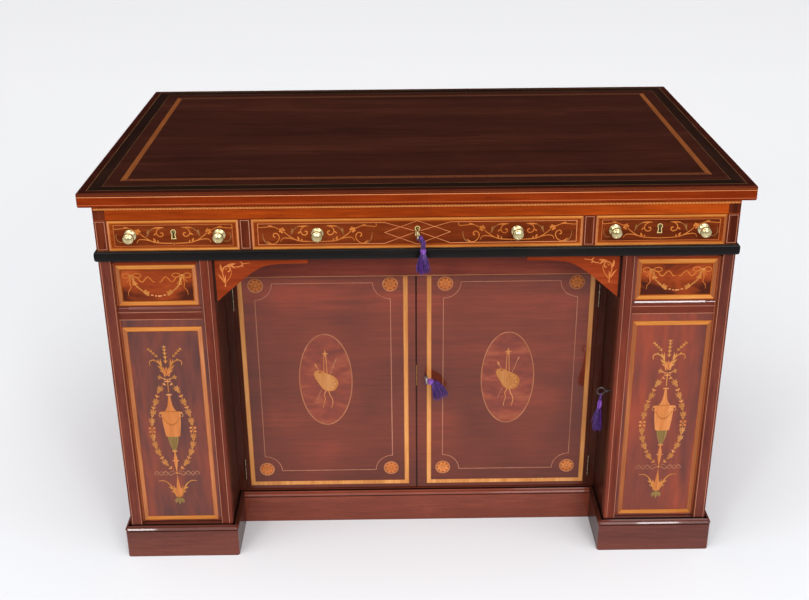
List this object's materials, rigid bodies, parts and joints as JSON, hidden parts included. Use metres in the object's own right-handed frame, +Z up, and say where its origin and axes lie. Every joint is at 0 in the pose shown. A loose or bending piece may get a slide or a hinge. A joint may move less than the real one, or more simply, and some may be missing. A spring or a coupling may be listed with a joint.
{
  "type": "architect's kneehole desk",
  "caption": "Mahogany kneehole architect's desk with a rising top on a strut, frieze drawers, inlaid cupboard doors set back between two pedestals, keys with tassels.",
  "frame": {"origin": "on the floor, under the middle of the object's bounding box", "axes": "+X to the right of someone sitting at the desk, +Y away from them, +Z up"},
  "size_m": [1.22, 0.777, 0.792],
  "materials": {
    "mahogany": "polished dark mahogany",
    "frieze": "polished red mahogany",
    "oak": "plain waxed oak",
    "ebonised": "black polished",
    "brass": "lacquered",
    "iron": "worn bright",
    "silk": "silk fringe"
  },
  "bodies": {
    "carcass": {"plinth_front": "mahogany", "plinth_back": "mahogany", "base_board": "oak", "left_outer_side": "mahogany", "right_outer_side": "mahogany", "left_inner_side": "mahogany", "right_inner_side": "mahogany", "left_face_frame": "mahogany", "right_face_frame": "mahogany", "back_panel": "mahogany", "dust_board": "oak", "ebonised_moulding": "ebonised", "kneehole_frame": "mahogany", "left_spandrel": "frieze", "right_spandrel": "frieze", "frieze_frame": "frieze", "left_drawer_guide": "oak", "right_drawer_guide": "oak", "well_board": "oak", "strut_rack": "oak", "left_leaf_hinge": "brass", "right_leaf_hinge": "brass", "left_door_upper_hinge": "brass", "left_door_lower_hinge": "brass", "right_door_upper_hinge": "brass", "right_door_lower_hinge": "brass", "left_pedestal_upper_pivot": "brass", "left_pedestal_lower_pivot": "brass", "right_pedestal_upper_pivot": "brass", "right_pedestal_lower_pivot": "brass", "pedestal_lock": "brass"},
    "leaf": {"top_leaf": "mahogany"},
    "strut": {"leaf_strut": "oak"},
    "left_drawer": {"left_drawer_front": "frieze", "left_drawer_box": "oak", "left_drawer_knob_1": "brass", "left_drawer_knob_2": "brass"},
    "centre_drawer": {"centre_drawer_front": "frieze", "centre_drawer_box": "oak", "centre_drawer_knob_1": "brass", "centre_drawer_knob_2": "brass", "centre_drawer_lock": "brass"},
    "drawer_bolt": {"centre_drawer_bolt": "brass"},
    "drawer_key": {"centre_drawer_key": "iron"},
    "drawer_tassel": {"centre_drawer_tassel": "silk"},
    "right_drawer": {"right_drawer_front": "frieze", "right_drawer_box": "oak", "right_drawer_knob_1": "brass", "right_drawer_knob_2": "brass"},
    "left_door": {"left_door": "mahogany"},
    "right_door": {"right_door": "mahogany", "right_door_lock": "brass"},
    "door_bolt": {"right_door_bolt": "brass"},
    "door_key": {"right_door_key": "iron"},
    "door_tassel": {"right_door_tassel": "silk"},
    "left_pedestal_door": {"left_pedestal_door": "mahogany"},
    "right_pedestal_door": {"right_pedestal_door": "mahogany"},
    "pedestal_bolt": {"pedestal_lock_bolt": "brass"},
    "pedestal_key": {"pedestal_key": "iron"},
    "pedestal_tassel": {"pedestal_tassel": "silk"}
  },
  "joints": [
    {"name": "leaf_tilt", "type": "hinge", "parent": "carcass", "child": "leaf", "pos_m": [0, -0.3587, 0.7622], "axis": [1, 0, 0], "range_deg": [0, 45]},
    {"name": "strut_fold", "type": "hinge", "parent": "leaf", "child": "strut", "pos_m": [0, -0.0287, 0.757], "axis": [-1, 0, 0], "range_deg": [0, 90]},
    {"name": "left_drawer_slide", "type": "slide", "parent": "carcass", "child": "left_drawer", "axis": [0, -1, 0], "range_m": [0, 0.36]},
    {"name": "centre_drawer_slide", "type": "slide", "parent": "carcass", "child": "centre_drawer", "axis": [0, -1, 0], "range_m": [0, 0.36]},
    {"name": "right_drawer_slide", "type": "slide", "parent": "carcass", "child": "right_drawer", "axis": [0, -1, 0], "range_m": [0, 0.36]},
    {"name": "left_door_swing", "type": "hinge", "parent": "carcass", "child": "left_door", "pos_m": [-0.3648, -0.2362, 0.33], "axis": [0, 0, -1], "range_deg": [0, 84]},
    {"name": "right_door_swing", "type": "hinge", "parent": "carcass", "child": "right_door", "pos_m": [0.3648, -0.2362, 0.33], "axis": [0, 0, 1], "range_deg": [0, 74]},
    {"name": "left_pedestal_door_swing", "type": "hinge", "parent": "carcass", "child": "left_pedestal_door", "pos_m": [-0.561, -0.3425, 0.36], "axis": [0, 0, -1], "range_deg": [0, 95]},
    {"name": "right_pedestal_door_swing", "type": "hinge", "parent": "carcass", "child": "right_pedestal_door", "pos_m": [0.561, -0.3425, 0.36], "axis": [0, 0, 1], "range_deg": [0, 95]},
    {"name": "drawer_key_turn", "type": "hinge", "parent": "centre_drawer", "child": "drawer_key", "pos_m": [0, -0.3555, 0.708], "axis": [0, -1, 0], "range_deg": [0, 180]},
    {"name": "drawer_bolt_throw", "type": "slide", "parent": "centre_drawer", "child": "drawer_bolt", "axis": [0, 0, 1], "range_m": [0, 0.006]},
    {"name": "drawer_tassel_swing", "type": "hinge", "parent": "centre_drawer", "child": "drawer_tassel", "pos_m": [0, -0.377, 0.7003], "axis": [0, -1, 0], "range_deg": [-35, 35]},
    {"name": "door_key_turn", "type": "hinge", "parent": "right_door", "child": "door_key", "pos_m": [0.0195, -0.2335, 0.345], "axis": [0, -1, 0], "range_deg": [0, 180]},
    {"name": "door_bolt_throw", "type": "slide", "parent": "right_door", "child": "door_bolt", "axis": [-1, 0, 0], "range_m": [0, 0.008]},
    {"name": "door_tassel_swing", "type": "hinge", "parent": "right_door", "child": "door_tassel", "pos_m": [0.0195, -0.255, 0.3373], "axis": [0, -1, 0], "range_deg": [-75, 25]},
    {"name": "pedestal_key_turn", "type": "hinge", "parent": "carcass", "child": "pedestal_key", "pos_m": [0.381, -0.3265, 0.354], "axis": [-1, 0, 0], "range_deg": [0, 180]},
    {"name": "pedestal_bolt_throw", "type": "slide", "parent": "carcass", "child": "pedestal_bolt", "axis": [0, 0, 1], "range_m": [0, 0.008]},
    {"name": "pedestal_tassel_swing", "type": "hinge", "parent": "carcass", "child": "pedestal_tassel", "pos_m": [0.3632, -0.3265, 0.3463], "axis": [-1, 0, 0], "range_deg": [-35, 35]}
  ],
  "couplings": [
    {"joint": "strut_fold", "follows": "leaf_tilt", "ratio": 2},
    {"joint": "drawer_key_turn", "follows": "drawer_bolt_throw", "rad_per_m": 523.59},
    {"joint": "door_key_turn", "follows": "door_bolt_throw", "rad_per_m": 392.69},
    {"joint": "pedestal_key_turn", "follows": "pedestal_bolt_throw", "rad_per_m": 392.69}
  ]
}
